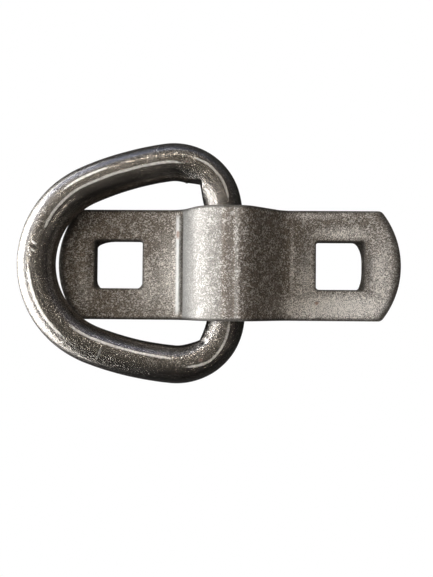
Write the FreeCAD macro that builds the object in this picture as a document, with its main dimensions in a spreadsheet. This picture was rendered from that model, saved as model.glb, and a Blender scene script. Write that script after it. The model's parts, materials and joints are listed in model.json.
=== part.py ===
import FreeCAD, Part
import math
import os
import Sketcher

# Bolt-on lashing ring: a forged D-shaped ring whose straight leg turns under the raised
# saddle of a flat steel bracket. The bracket bolts down through two square holes.
#
# Frame: millimetres, Z up, the mounting surface is the plane Z = 0, X runs along the bar
# and Y across it. The origin is half way between the two bolt holes.

V = FreeCAD.Vector

SIZES = [
    # bracket: flat bar with a saddle pressed up in the middle
    ("bar_width", 38.1, "width of the flat bar"),
    ("bar_thickness", 6.0, "thickness of the flat bar"),
    ("bracket_length", 118.6, "length over the two rounded ends"),
    ("end_radius", 30.0, "radius of each end, seen from above"),
    ("end_corner_radius", 2.0, "corner between an end and a long edge"),
    ("hole_side", 16.5, "side of each square bolt hole"),
    ("hole_corner_radius", 1.0, "corners of the bolt holes"),
    ("hole_spacing", 76.5, "distance between hole centres"),
    ("saddle_rise", 14.3, "height of the crown over the feet"),
    ("steep_foot", 17.1, "from the middle to the foot of the steep flank"),
    ("steep_crown", 9.0, "from the middle to the crown's corner on the steep side"),
    ("easy_crown", 6.5, "from the middle to the crown's corner on the easy side"),
    ("easy_foot", 19.1, "from the middle to the foot of the easy flank"),
    ("crown_bend_radius", 1.0, "inside radius of the two crown bends"),
    ("steep_bend_radius", 2.0, "inside radius of the bend at the steep foot"),
    ("easy_bend_radius", 6.0, "inside radius of the bend at the easy foot"),
    ("trim_overhang", 2.0, "how far the cut round the ends reaches past the bar"),
    ("edge_round", 1.2, "rounding of the bar's upper edges"),
    ("hole_edge_round", 0.8, "rounding of the holes' upper rims"),
    # ring: round bar bent to a D, measured along the middle of the bar
    ("ring_bar", 12.9, "diameter of the round bar"),
    ("ring_length", 64.3, "from the leg to the far end"),
    ("ring_half_width", 34.65, "from the ring's middle line to its widest point"),
    ("leg_straight", 14.0, "half of the straight part of the leg"),
    ("leg_radius", 38.0, "gentle curve at each end of the leg"),
    ("corner_radius", 16.5, "corner between leg and side"),
    ("side_radius", 100.0, "gentle curve of each side"),
    ("far_end_radius", 29.5, "round far end"),
    # how the ring lies in the saddle
    ("hinge_x", -1.35, "turning axis along the bar"),
    ("hinge_y", 1.05, "ring's middle across the bar"),
    ("hinge_height", 7.0, "turning axis over the mounting surface"),
    ("hinge_inset", 0.17, "turning axis behind the middle of the leg"),
    ("rest_tilt", 4.0, "ring's slope where it lies on the bracket's end, degrees"),
    ("rest_skew", 1.9, "turning axis off square to the bar, degrees"),
]


def make_sheet(doc):
    """Write every driving size into the sheet, one row each, and return the sheet."""
    sheet = doc.addObject("Spreadsheet::Sheet", "Sizes")
    for row, (alias, value, meaning) in enumerate(SIZES, start=1):
        sheet.set("A%d" % row, alias)
        sheet.set("B%d" % row, str(value))
        sheet.set("C%d" % row, meaning)
        sheet.setAlias("B%d" % row, alias)
    doc.recompute()
    return sheet


def plane(body, role):
    """Return one of the body's own origin planes, such as XY_Plane."""
    return next(item for item in body.Origin.OriginFeatures if item.Role == role)


def make_sketch(body, name, role):
    """Add an empty sketch on one of the body's origin planes."""
    sketch = body.newObject("Sketcher::SketchObject", name)
    sketch.AttachmentSupport = [(plane(body, role), "")]
    sketch.MapMode = "FlatFace"
    return sketch


def rule(sketch, name, expression, kind, *where):
    """Add a dimension to a sketch, name it and drive it from the sheet."""
    value = sketch.evalExpression(expression)
    index = sketch.addConstraint(Sketcher.Constraint(kind, *where, value))
    sketch.renameConstraint(index, name)
    sketch.setExpression("Constraints." + name, expression)


def add_outline(sketch, corners):
    """Add a closed outline of straight lines through the corners; return their indices."""
    following = corners[1:] + corners[:1]
    lines = [sketch.addGeometry(Part.LineSegment(V(*a, 0), V(*b, 0)), False)
             for a, b in zip(corners, following)]
    for line, after in zip(lines, lines[1:] + lines[:1]):
        sketch.addConstraint(Sketcher.Constraint("Coincident", line, 2, after, 1))
    return lines


def add_fillet(body, base, name, wanted, radius):
    """Round the base feature's edges that the test accepts, with a radius from the sheet."""
    edges = ["Edge%d" % number for number, edge in enumerate(base.Shape.Edges, start=1)
             if wanted(edge)]
    if not edges:
        raise ValueError("no edges for " + name)
    fillet = body.newObject("PartDesign::Fillet", name)
    fillet.Base = (base, edges)
    fillet.setExpression("Radius", radius)
    body.Document.recompute()
    return fillet


def runs_along(edge, direction):
    """Tell whether the edge is straight and parallel to a direction."""
    if edge.Curve.TypeId != "Part::GeomLine":
        return False
    return abs(abs(edge.tangentAt(edge.FirstParameter).dot(direction)) - 1) < 1e-6


def bend_at(x, z):
    """Test for the edge across the bar that stands at one corner of the side profile."""
    def wanted(edge):
        middle = edge.CenterOfMass
        return runs_along(edge, V(0, 1, 0)) and math.hypot(middle.x - x, middle.z - z) < 1e-3
    return wanted


def saddle_profile(body, sheet):
    """Sketch the bar's side view with sharp corners, as one closed outline."""
    half = sheet.bracket_length / 2
    thick, crown = sheet.bar_thickness, sheet.saddle_rise + sheet.bar_thickness
    under = thick / 2
    corners = [(-half, thick), (-sheet.steep_foot, thick), (-sheet.steep_crown, crown),
               (sheet.easy_crown, crown), (sheet.easy_foot, thick), (half, thick),
               (half, 0), (sheet.easy_foot - under, 0), (sheet.easy_crown - under, crown - thick),
               (under - sheet.steep_crown, crown - thick), (under - sheet.steep_foot, 0),
               (-half, 0)]
    sketch = make_sketch(body, "SaddleProfile", "XZ_Plane")
    lines = add_outline(sketch, corners)
    (top_left, rise_out, crown_out, fall_out, top_right, end_right,
     under_right, fall_in, crown_in, rise_in, under_left, end_left) = lines
    for line in (top_left, crown_out, top_right, under_right, crown_in, under_left):
        sketch.addConstraint(Sketcher.Constraint("Horizontal", line))
    for line in (end_right, end_left):
        sketch.addConstraint(Sketcher.Constraint("Vertical", line))
    sketch.addConstraint(Sketcher.Constraint("Parallel", rise_out, rise_in))
    sketch.addConstraint(Sketcher.Constraint("Parallel", fall_out, fall_in))
    sketch.addConstraint(Sketcher.Constraint("PointOnObject", end_left, 1, -1))
    sketch.addConstraint(Sketcher.Constraint("PointOnObject", under_right, 1, -1))
    origin = (-1, 1)
    rule(sketch, "left_end", "-Sizes.bracket_length / 2", "DistanceX", *origin, end_left, 1)
    rule(sketch, "right_end", "Sizes.bracket_length / 2", "DistanceX", *origin, end_right, 1)
    rule(sketch, "left_thickness", "Sizes.bar_thickness", "DistanceY", *origin, top_left, 1)
    rule(sketch, "right_thickness", "Sizes.bar_thickness", "DistanceY", *origin, top_right, 1)
    rule(sketch, "steep_foot", "-Sizes.steep_foot", "DistanceX", *origin, rise_out, 1)
    rule(sketch, "steep_crown", "-Sizes.steep_crown", "DistanceX", *origin, rise_out, 2)
    rule(sketch, "easy_crown", "Sizes.easy_crown", "DistanceX", *origin, fall_out, 1)
    rule(sketch, "easy_foot", "Sizes.easy_foot", "DistanceX", *origin, fall_out, 2)
    rule(sketch, "crown_top", "Sizes.saddle_rise + Sizes.bar_thickness",
         "DistanceY", *origin, crown_out, 1)
    rule(sketch, "crown_under", "Sizes.saddle_rise", "DistanceY", *origin, crown_in, 1)
    rule(sketch, "rise_thickness", "Sizes.bar_thickness", "Distance", rise_in, 1, rise_out)
    rule(sketch, "fall_thickness", "Sizes.bar_thickness", "Distance", fall_in, 1, fall_out)
    return sketch


def bend_fillets(body, base, sheet):
    """Round the four bends of the bar, inside and outside.

    Corners are counted round the profile from the upper corner of its left end.
    """
    sketch = body.getObject("SaddleProfile")
    corners = [sketch.getPoint(line, 1) for line in range(len(sketch.Geometry))]
    bends = [("SteepFoot", 1, "Sizes.steep_bend_radius"),
             ("SteepFootUnder", 10, "Sizes.steep_bend_radius + Sizes.bar_thickness"),
             ("SteepCrown", 2, "Sizes.crown_bend_radius + Sizes.bar_thickness"),
             ("SteepCrownUnder", 9, "Sizes.crown_bend_radius"),
             ("EasyCrown", 3, "Sizes.crown_bend_radius + Sizes.bar_thickness"),
             ("EasyCrownUnder", 8, "Sizes.crown_bend_radius"),
             ("EasyFoot", 4, "Sizes.easy_bend_radius"),
             ("EasyFootUnder", 7, "Sizes.easy_bend_radius + Sizes.bar_thickness")]
    for name, corner, radius in bends:
        place = corners[corner]
        base = add_fillet(body, base, name, bend_at(place.x, place.y), radius)
    return base


def end_trim(body, base, sheet):
    """Cut both ends of the bar to a round outline."""
    sketch = make_sketch(body, "EndOutline", "XY_Plane")
    reach = sheet.bar_width / 2 + sheet.trim_overhang
    centre = sheet.bracket_length / 2 - sheet.end_radius
    turn = math.asin(reach / sheet.end_radius)
    start = centre + sheet.end_radius * math.cos(turn)
    outside = sheet.bracket_length / 2 + sheet.trim_overhang
    for side, name in ((-1, "left"), (1, "right")):
        circle = Part.Circle(V(side * centre, 0, 0), V(0, 0, 1), sheet.end_radius)
        middle = 0 if side > 0 else math.pi
        arc = sketch.addGeometry(Part.ArcOfCircle(circle, middle - turn, middle + turn), False)
        low, high = (1, 2) if side > 0 else (2, 1)
        path = [(start, -reach), (outside, -reach), (outside, reach), (start, reach)]
        lines = [sketch.addGeometry(Part.LineSegment(V(side * a[0], a[1], 0),
                                                     V(side * b[0], b[1], 0)), False)
                 for a, b in zip(path, path[1:])]
        joints = [(arc, low, lines[0], 1), (lines[0], 2, lines[1], 1),
                  (lines[1], 2, lines[2], 1), (lines[2], 2, arc, high)]
        for joint in joints:
            sketch.addConstraint(Sketcher.Constraint("Coincident", *joint))
        for line in (lines[0], lines[2]):
            sketch.addConstraint(Sketcher.Constraint("Horizontal", line))
        sketch.addConstraint(Sketcher.Constraint("Vertical", lines[1]))
        sketch.addConstraint(Sketcher.Constraint("PointOnObject", arc, 3, -1))
        sketch.addConstraint(Sketcher.Constraint("Symmetric", arc, 1, arc, 2, -1))
        rule(sketch, name + "_radius", "Sizes.end_radius", "Radius", arc)
        rule(sketch, name + "_centre", "%d * (Sizes.bracket_length / 2 - Sizes.end_radius)" % side,
             "DistanceX", -1, 1, arc, 3)
        rule(sketch, name + "_reach", "Sizes.bar_width / 2 + Sizes.trim_overhang",
             "DistanceY", -1, 1, lines[1], 2)
        rule(sketch, name + "_outside",
             "%d * (Sizes.bracket_length / 2 + Sizes.trim_overhang)" % side,
             "DistanceX", -1, 1, lines[1], 2)
    return cut_through(body, base, sketch, "EndTrim")


def bolt_holes(body, base, sheet):
    """Cut the two square bolt holes through the feet."""
    sketch = make_sketch(body, "HoleOutline", "XY_Plane")
    half = sheet.hole_side / 2
    for side, name in ((-1, "left"), (1, "right")):
        middle = side * sheet.hole_spacing / 2
        corners = [(middle - half, -half), (middle + half, -half),
                   (middle + half, half), (middle - half, half)]
        low, right, high, left = add_outline(sketch, corners)
        for line in (low, high):
            sketch.addConstraint(Sketcher.Constraint("Horizontal", line))
        for line in (left, right):
            sketch.addConstraint(Sketcher.Constraint("Vertical", line))
        rule(sketch, name + "_side", "Sizes.hole_side", "DistanceX", low, 1, low, 2)
        rule(sketch, name + "_depth", "Sizes.hole_side", "DistanceY", right, 1, right, 2)
        rule(sketch, name + "_place", "%d * Sizes.hole_spacing / 2 - Sizes.hole_side / 2" % side,
             "DistanceX", -1, 1, low, 1)
        rule(sketch, name + "_offset", "-Sizes.hole_side / 2", "DistanceY", -1, 1, low, 1)
    return cut_through(body, base, sketch, "BoltHoles")


def cut_through(body, base, sketch, name):
    """Cut a sketch on the mounting plane right through the bar, and check that it cut."""
    volume = base.Shape.Volume
    pocket = body.newObject("PartDesign::Pocket", name)
    pocket.Profile = sketch
    pocket.Type = "ThroughAll"
    pocket.Midplane = True
    body.Document.recompute()
    if pocket.Shape.Volume > volume - 1:
        raise ValueError(name + " removed nothing")
    return pocket


def end_upright(sheet):
    """Test for the upright edge where a round end meets a long edge of the bar."""
    edge_line = sheet.bar_width / 2 - 0.01

    def wanted(edge):
        return runs_along(edge, V(0, 0, 1)) and abs(edge.CenterOfMass.y) > edge_line
    return wanted


def on_upper_side(sheet):
    """Test for an edge of the bar's rim on its upper side, saddle included."""
    face_level = sheet.bar_thickness - 0.01
    edge_line = sheet.bar_width / 2 - 0.01
    centre = sheet.bracket_length / 2 - sheet.end_radius

    def wanted(edge):
        points = [edge.valueAt(edge.FirstParameter), edge.valueAt(edge.LastParameter),
                  edge.CenterOfMass]
        if min(point.z for point in points) < face_level:
            return False
        on_long_edge = min(abs(point.y) for point in points) > edge_line
        beyond = min(math.hypot(max(abs(point.x) - centre, 0), point.y) for point in points[:2])
        return on_long_edge or beyond > edge_line + 1
    return wanted


def rim_of_holes(sheet):
    """Test for an edge of a bolt hole's upper rim."""
    reach = sheet.hole_side / 2 + 0.01

    def wanted(edge):
        middle = edge.CenterOfMass
        from_hole = abs(abs(middle.x) - sheet.hole_spacing / 2)
        return (abs(middle.z - sheet.bar_thickness) < 1e-3 and from_hole < reach
                and abs(middle.y) < reach)
    return wanted


def hole_upright(sheet):
    """Test for an upright edge at a corner of a bolt hole."""
    reach = sheet.hole_side / 2 + 0.01

    def wanted(edge):
        middle = edge.CenterOfMass
        from_hole = abs(abs(middle.x) - sheet.hole_spacing / 2)
        return runs_along(edge, V(0, 0, 1)) and from_hole < reach and abs(middle.y) < reach
    return wanted


def make_bracket(doc, sheet):
    """Flat bar with a pressed saddle, round ends and two square holes."""
    body = doc.addObject("PartDesign::Body", "Bracket")
    body.Label = "bracket"
    profile = saddle_profile(body, sheet)
    doc.recompute()
    bar = body.newObject("PartDesign::Pad", "Bar")
    bar.Profile = profile
    bar.Midplane = True
    bar.setExpression("Length", "Sizes.bar_width")
    doc.recompute()
    bent = bend_fillets(body, bar, sheet)
    trimmed = end_trim(body, bent, sheet)
    corners = add_fillet(body, trimmed, "EndCorners", end_upright(sheet),
                         "Sizes.end_corner_radius")
    holes = bolt_holes(body, corners, sheet)
    hole_corners = add_fillet(body, holes, "HoleCorners", hole_upright(sheet),
                              "Sizes.hole_corner_radius")
    rim = add_fillet(body, hole_corners, "UpperEdges", on_upper_side(sheet), "Sizes.edge_round")
    add_fillet(body, rim, "HoleRims", rim_of_holes(sheet), "Sizes.hole_edge_round")
    return body


def ring_path(body, sheet):
    """Sketch half of the ring's middle line, from the middle of the leg to the far end.

    Each arc starts with roughly the angle it turns through; the dimensions then settle it.
    """
    sketch = make_sketch(body, "HalfPath", "XY_Plane")
    arcs = [("leg_radius", 11), ("corner_radius", 86), ("side_radius", 16.5),
            ("far_end_radius", 66.5)]
    straight = sheet.leg_straight
    leg = sketch.addGeometry(Part.LineSegment(V(0, 0, 0), V(0, straight, 0)), False)
    sketch.addConstraint(Sketcher.Constraint("Coincident", leg, 1, -1, 1))
    sketch.addConstraint(Sketcher.Constraint("Vertical", leg))
    rule(sketch, "leg_straight", "Sizes.leg_straight", "DistanceY", leg, 1, leg, 2)
    place, angle, previous = V(0, straight, 0), 0.0, leg
    for alias, turn in arcs:
        radius = getattr(sheet, alias)
        start, finish = math.radians(angle), math.radians(angle + turn)
        centre = place - V(radius * math.cos(start), radius * math.sin(start), 0)
        circle = Part.Circle(centre, V(0, 0, 1), radius)
        arc = sketch.addGeometry(Part.ArcOfCircle(circle, start, finish), False)
        sketch.addConstraint(Sketcher.Constraint("Tangent", previous, 2, arc, 1))
        rule(sketch, alias, "Sizes." + alias, "Radius", arc)
        if alias == "corner_radius":
            rule(sketch, "half_width", "Sizes.ring_half_width - Sizes.corner_radius",
                 "DistanceY", -1, 1, arc, 3)
        place = centre + V(radius * math.cos(finish), radius * math.sin(finish), 0)
        angle, previous = angle + turn, arc
    sketch.addConstraint(Sketcher.Constraint("PointOnObject", previous, 2, -1))
    sketch.addConstraint(Sketcher.Constraint("PointOnObject", previous, 3, -1))
    rule(sketch, "ring_length", "-Sizes.ring_length", "DistanceX", -1, 1, previous, 2)
    return sketch


def bar_section(body, sheet):
    """Sketch the round bar's section across the middle of the leg."""
    sketch = make_sketch(body, "BarSection", "XZ_Plane")
    circle = sketch.addGeometry(Part.Circle(V(0, 0, 0), V(0, 0, 1), sheet.ring_bar / 2), False)
    sketch.addConstraint(Sketcher.Constraint("Coincident", circle, 3, -1, 1))
    rule(sketch, "bar_radius", "Sizes.ring_bar / 2", "Radius", circle)
    return sketch


def ring_placement(sheet):
    """Lay the ring in the saddle: turned on its hinge, and a little off square."""
    hinge = V(sheet.hinge_x, sheet.hinge_y, sheet.hinge_height)
    skew = FreeCAD.Rotation(V(0, 0, 1), sheet.rest_skew)
    tilt = FreeCAD.Rotation(V(0, 1, 0), sheet.rest_tilt)
    to_hinge = FreeCAD.Placement(V(sheet.hinge_inset, 0, 0), FreeCAD.Rotation())
    return FreeCAD.Placement(hinge, skew * tilt) * to_hinge


def make_ring(doc, sheet):
    """Round bar swept along half of the D and mirrored."""
    body = doc.addObject("PartDesign::Body", "Ring")
    body.Label = "ring"
    path = ring_path(body, sheet)
    section = bar_section(body, sheet)
    doc.recompute()
    half = body.newObject("PartDesign::AdditivePipe", "HalfRing")
    half.Profile = section
    half.Spine = (path, ["Edge%d" % number for number in range(1, len(path.Geometry) + 1)])
    doc.recompute()
    whole = body.newObject("PartDesign::Mirrored", "WholeRing")
    whole.Originals = [half]
    whole.MirrorPlane = (plane(body, "XZ_Plane"), [""])
    body.Tip = whole
    doc.recompute()
    if whole.Shape.Volume < 1.9 * half.Shape.Volume:
        raise ValueError("the ring's second half is missing")
    body.Placement = ring_placement(sheet)
    return body


def check(doc, bodies):
    """Stop with a message if any object failed or any sub-part's shape is unsound."""
    for item in doc.Objects:
        if "Invalid" in item.State or "Error" in item.State:
            raise ValueError("%s failed: %s" % (item.Name, item.State))
    for body in bodies:
        shape = body.Shape
        if shape.isNull() or not shape.isValid() or len(shape.Solids) != 1:
            raise ValueError("%s is not one sound solid" % body.Label)


def main():
    doc = FreeCAD.newDocument("LashingRing")
    sheet = make_sheet(doc)
    bodies = [make_bracket(doc, sheet), make_ring(doc, sheet)]
    doc.recompute()
    check(doc, bodies)
    os.makedirs("parts", exist_ok=True)
    for body in bodies:
        body.Shape.exportStep(os.path.join("parts", body.Label + ".step"))


main()
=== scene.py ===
import json
import math

import bmesh
import bpy
import numpy as np
from bpy.props import FloatProperty, FloatVectorProperty, PointerProperty
from mathutils import Matrix, Vector


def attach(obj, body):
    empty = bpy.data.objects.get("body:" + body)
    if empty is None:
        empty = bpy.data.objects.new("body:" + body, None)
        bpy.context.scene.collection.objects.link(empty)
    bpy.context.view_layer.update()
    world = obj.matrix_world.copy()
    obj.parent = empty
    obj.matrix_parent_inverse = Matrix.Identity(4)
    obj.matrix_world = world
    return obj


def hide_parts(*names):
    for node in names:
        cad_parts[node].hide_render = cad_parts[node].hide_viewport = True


bl_info = {
    "name": "Lashing ring and bracket",
    "version": (1, 0, 0),
    "blender": (4, 5, 0),
    "location": "3D View > Sidebar > Lashing Ring",
    "description": "Builds a forged D-ring and the bent steel bar that holds it down",
    "category": "Object",
}

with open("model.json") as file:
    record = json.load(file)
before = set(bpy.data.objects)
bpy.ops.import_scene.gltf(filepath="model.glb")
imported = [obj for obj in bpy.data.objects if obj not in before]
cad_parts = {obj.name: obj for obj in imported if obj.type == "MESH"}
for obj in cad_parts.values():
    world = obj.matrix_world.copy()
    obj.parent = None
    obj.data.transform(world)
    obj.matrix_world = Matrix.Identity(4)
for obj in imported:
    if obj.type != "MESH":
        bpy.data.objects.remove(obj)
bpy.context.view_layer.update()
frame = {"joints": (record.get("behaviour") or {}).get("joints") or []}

MM = 0.001
HINGE = frame["joints"][0]

# Distances in from a sheared or rolled edge at which the grid of the blank has a line, in mm.
EDGE_LINES = (0, 0.06, 0.2, 0.45, 0.8, 1.25, 1.8, 2.5)
RIM_LINES = (0, 0.08, 0.25, 0.5, 0.9, 1.4, 2.0, 2.6)
CORNER_LINES = (0.12, 0.35, 0.65, 1.0)
WALL_LEVELS = 9


# ---------------------------------------------------------------- sizes and colours


class BracketSizes(bpy.types.PropertyGroup):
    """The flat bar with its two square holes, and the saddle pressed into it."""

    width: FloatProperty(name="Bar width", description="Across the bar", default=0.0381, unit="LENGTH")
    thickness: FloatProperty(name="Bar thickness", description="Of the flat bar", default=0.006, unit="LENGTH")
    length: FloatProperty(name="Length", description="Over both rounded ends", default=0.1186, unit="LENGTH")
    end_radius: FloatProperty(
        name="End radius", description="Of the sheared round ends", default=0.030, unit="LENGTH")
    hole_side: FloatProperty(
        name="Hole side", description="Of the square bolt holes", default=0.0165, unit="LENGTH")
    hole_corner: FloatProperty(
        name="Hole corner radius", description="In the corners of the holes", default=0.001, unit="LENGTH")
    hole_spacing: FloatProperty(
        name="Hole spacing", description="Between the centres of the holes", default=0.0765, unit="LENGTH")
    grid_step: FloatProperty(
        name="Grid step", description="Widest gap between the lines of the mesh",
        default=0.00055, unit="LENGTH")
    waviness: FloatProperty(
        name="Waviness", description="Height of the slow waves in the rolled face",
        default=0.00009, unit="LENGTH")
    dents: FloatProperty(
        name="Dents", description="Depth of the small tumbling dents", default=0.00003, unit="LENGTH")
    colour: FloatVectorProperty(
        name="Bar steel", description="Mean colour of the bare rolled steel",
        default=(0.42, 0.385, 0.35), subtype="COLOR", size=3, min=0, max=1)


class RingSizes(bpy.types.PropertyGroup):
    """The forged ring: a straight leg, two corners and a round far end."""

    bar: FloatProperty(
        name="Ring bar", description="Diameter of the ring's round bar", default=0.0129, unit="LENGTH")
    leg: FloatProperty(
        name="Half leg", description="Half of the straight length of the leg", default=0.014, unit="LENGTH")
    inset: FloatProperty(
        name="Leg inset", description="From the hinge to the middle of the leg", default=0.00017, unit="LENGTH")
    tilt: FloatProperty(
        name="Rest tilt", description="How far the far end is propped up at rest",
        default=math.radians(4), subtype="ANGLE")
    path_step: FloatProperty(
        name="Path step", description="Gap between the rings of the mesh along the bar",
        default=0.0004, unit="LENGTH")
    colour: FloatVectorProperty(
        name="Forged steel", description="Mean colour of the forged skin",
        default=(0.27, 0.26, 0.25), subtype="COLOR", size=3, min=0, max=1)


class StageSizes(bpy.types.PropertyGroup):
    """The floor, the lights and the camera."""

    camera_place: FloatVectorProperty(
        name="Camera place", description="Where the lens is", subtype="XYZ",
        default=(0.00097, -0.01337, 0.25559), unit="LENGTH", size=3)
    camera_turn: FloatVectorProperty(
        name="Camera turn", description="Small turns away from looking straight down",
        default=(math.radians(-1.211), math.radians(-1.195), math.radians(-0.437)),
        subtype="EULER", size=3)
    lens: FloatProperty(name="Lens", description="Focal length on a 36 mm frame, in mm", default=45.17)
    floor: FloatVectorProperty(
        name="Floor", description="Colour of the floor", default=(1.0, 1.0, 1.0),
        subtype="COLOR", size=3, min=0, max=1)


# ---------------------------------------------------------------- small tools

NUMBER, VECTOR = "NodeSocketFloat", "NodeSocketVector"


def smooth(value):
    """0 below 0, 1 above 1 and an even S between."""
    value = np.clip(value, 0, 1)
    return value * value * (3 - 2 * value)


def quarter_round(distance, width, drop):
    """How far a face has fallen at a distance in from an edge rounded by a quarter ellipse."""
    share = np.clip(1 - distance / width, 0, 1)
    return drop * (1 - np.sqrt(1 - share**2))


def feed(tree, socket, value):
    """Links a socket to a node's output, or sets it to a value."""
    if isinstance(value, bpy.types.NodeSocket):
        tree.links.new(value, socket)
    else:
        socket.default_value = value


def add_node(tree, kind, inputs=None, **settings):
    """A node with its settings made and its inputs fed."""
    node = tree.nodes.new(kind)
    for name, value in settings.items():
        setattr(node, name, value)
    for name, value in (inputs or {}).items():
        feed(tree, node.inputs[name], value)
    return node


def maths(tree, operation, *values, clamp=False):
    """The result of a Math node."""
    inputs = dict(enumerate(values))
    return add_node(tree, "ShaderNodeMath", inputs, operation=operation, use_clamp=clamp).outputs[0]


def times(tree, first, second, clamp=False):
    """Two values multiplied."""
    return maths(tree, "MULTIPLY", first, second, clamp=clamp)


def plus(tree, first, second):
    """Two values added."""
    return maths(tree, "ADD", first, second)


def ranged(tree, value, low, high, new_low=0.0, new_high=1.0, kind="SMOOTHSTEP"):
    """A value stretched from one range to another and held inside it."""
    inputs = {0: value, 1: low, 2: high, 3: new_low, 4: new_high}
    return add_node(tree, "ShaderNodeMapRange", inputs, interpolation_type=kind).outputs[0]


def vector_sum(tree, first, second):
    """Two vectors added."""
    return add_node(tree, "ShaderNodeVectorMath", {0: first, 1: second}, operation="ADD").outputs[0]


def scaled(tree, vector, factor):
    """A vector times a number."""
    node = add_node(tree, "ShaderNodeVectorMath", {0: vector, "Scale": factor}, operation="SCALE")
    return node.outputs[0]


def noise(tree, vector, scale, detail=2.0, roughness=0.5):
    """A Noise Texture's value, which is about 0.5 on average."""
    inputs = {"Vector": vector, "Scale": scale, "Detail": detail, "Roughness": roughness}
    return add_node(tree, "ShaderNodeTexNoise", inputs).outputs[0]


def mixed(tree, share, first, second):
    """Two colours mixed."""
    node = add_node(tree, "ShaderNodeMix", {"Factor": share}, data_type="RGBA")
    for socket, value in ((node.inputs[6], first), (node.inputs[7], second)):
        feed(tree, socket, value if isinstance(value, bpy.types.NodeSocket) else (*value, 1))
    return node.outputs[2]


def laid(tree, skin, mask, share, colour, clamp=False):
    """A colour laid over the skin where a mask is, at a share of its strength."""
    return mixed(tree, times(tree, mask, share, clamp=clamp), skin, colour)


def tint(colour, *shares):
    """A colour made lighter or darker, by one share or by one for each channel."""
    return [c * k for c, k in zip(colour, shares * 3 if len(shares) == 1 else shares)]


def new_tree(name, kind, inputs, outputs):
    """A node tree with named sockets, and its input and output nodes."""
    tree = bpy.data.node_groups.new(name, kind)
    for title, socket, value in inputs:
        made = tree.interface.new_socket(name=title, in_out="INPUT", socket_type=socket)
        if value is not None:
            made.default_value = value
    for title, socket in outputs:
        tree.interface.new_socket(name=title, in_out="OUTPUT", socket_type=socket)
    return tree, tree.nodes.new("NodeGroupInput"), tree.nodes.new("NodeGroupOutput")


def read(items, name, count, width=1):
    """One value of many items of a mesh, as rows of an array."""
    values = np.zeros(count * width, np.float32)
    items.foreach_get(name, values)
    return values.reshape(count, width)


def store(mesh, marks):
    """Keeps numbers for a mesh's points on it, by name."""
    for name, values in marks.items():
        mesh.attributes.new(name, "FLOAT", "POINT").data.foreach_set("value", values.astype(np.float32))


def add_object(name, data):
    """A new object in the scene."""
    made = bpy.data.objects.new(name, data)
    bpy.context.scene.collection.objects.link(made)
    return made


def plain_mesh(carrier, tree, values, name):
    """Runs a Geometry Nodes tree on an object and returns what it makes as an object of its own."""
    modifier = carrier.modifiers.new(tree.name, "NODES")
    modifier.node_group = tree
    for item in tree.interface.items_tree:
        if item.item_type == "SOCKET" and item.in_out == "INPUT" and item.name in values:
            modifier[item.identifier] = values[item.name]
    graph = bpy.context.evaluated_depsgraph_get()
    made = bpy.data.meshes.new_from_object(carrier.evaluated_get(graph), depsgraph=graph)
    carrier.modifiers.remove(modifier)
    bpy.data.objects.remove(carrier)
    made.name = name
    return add_object(name, made)


def finish_tree(tree, shaped, steel, outside):
    """Ends a Geometry Nodes tree with smooth faces in one steel."""
    soft = add_node(tree, "GeometryNodeSetShadeSmooth", {"Geometry": shaped.outputs[0]})
    real = add_node(tree, "GeometryNodeRealizeInstances", {"Geometry": soft.outputs[0]})
    painted = add_node(tree, "GeometryNodeSetMaterial", {"Geometry": real.outputs[0], "Material": steel})
    tree.links.new(painted.outputs[0], outside.inputs[0])


def points_outwards(mesh):
    """Merges doubled points and turns every face of a closed mesh outwards."""
    work = bmesh.new()
    work.from_mesh(mesh)
    bmesh.ops.remove_doubles(work, verts=work.verts, dist=1e-7)
    bmesh.ops.recalc_face_normals(work, faces=work.faces)
    work.to_mesh(mesh)
    work.free()


def poly_curve(name, points, radii=None, closed=False):
    """A curve object of straight runs through points, in metres."""
    data = bpy.data.curves.new(name, "CURVE")
    data.dimensions = "3D"
    spline = data.splines.new("POLY")
    spline.points.add(len(points) - 1)
    for index, point in enumerate(points):
        spline.points[index].co = (*point, 1)
        if radii:
            spline.points[index].radius = radii[index]
    spline.use_cyclic_u = closed
    return add_object(name, data)


# ---------------------------------------------------------------- shader groups


def mottle_group():
    """Cloudy light and dark patches of a rolled or tumbled skin."""
    tree, inside, outside = new_tree(
        "Steel mottle", "ShaderNodeTree",
        [("Vector", VECTOR, None), ("Patches per metre", NUMBER, 160.0), ("Contrast", NUMBER, 1.6)],
        [("Value", NUMBER)])
    vector, patches, contrast = inside.outputs[:3]
    broad = noise(tree, vector, patches, 5.0, 0.62)
    fine = noise(tree, vector, times(tree, patches, 5.3), 4.0, 0.7)
    both = plus(tree, times(tree, broad, 0.6), times(tree, fine, 0.4))
    value = maths(tree, "MULTIPLY_ADD", maths(tree, "SUBTRACT", both, 0.5), contrast, 0.5, clamp=True)
    tree.links.new(value, outside.inputs[0])
    return tree


def sparkle_group():
    """Small bright facets scattered in clusters, with the height that they stand up."""
    tree, inside, outside = new_tree(
        "Bright specks", "ShaderNodeTree",
        [("Vector", VECTOR, None), ("Specks per metre", NUMBER, 2600.0), ("Share", NUMBER, 0.3)],
        [("Mask", NUMBER), ("Height", NUMBER)])
    vector, specks, share = inside.outputs[:3]
    cell = add_node(tree, "ShaderNodeTexVoronoi", {"Vector": vector, "Scale": specks, "Randomness": 1.0})
    chance = add_node(tree, "ShaderNodeSeparateColor", {0: cell.outputs["Color"]}).outputs[0]
    cluster = noise(tree, vector, times(tree, specks, 0.13), 3.0, 0.65)
    wanted = times(tree, share, ranged(tree, cluster, 0.3, 0.75, 0.1, 1.9, "LINEAR"))
    chosen = ranged(tree, maths(tree, "SUBTRACT", wanted, chance), 0.0, 0.12)
    tree.links.new(chosen, outside.inputs[0])
    tree.links.new(plus(tree, chosen, chance), outside.inputs[1])
    return tree


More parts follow.
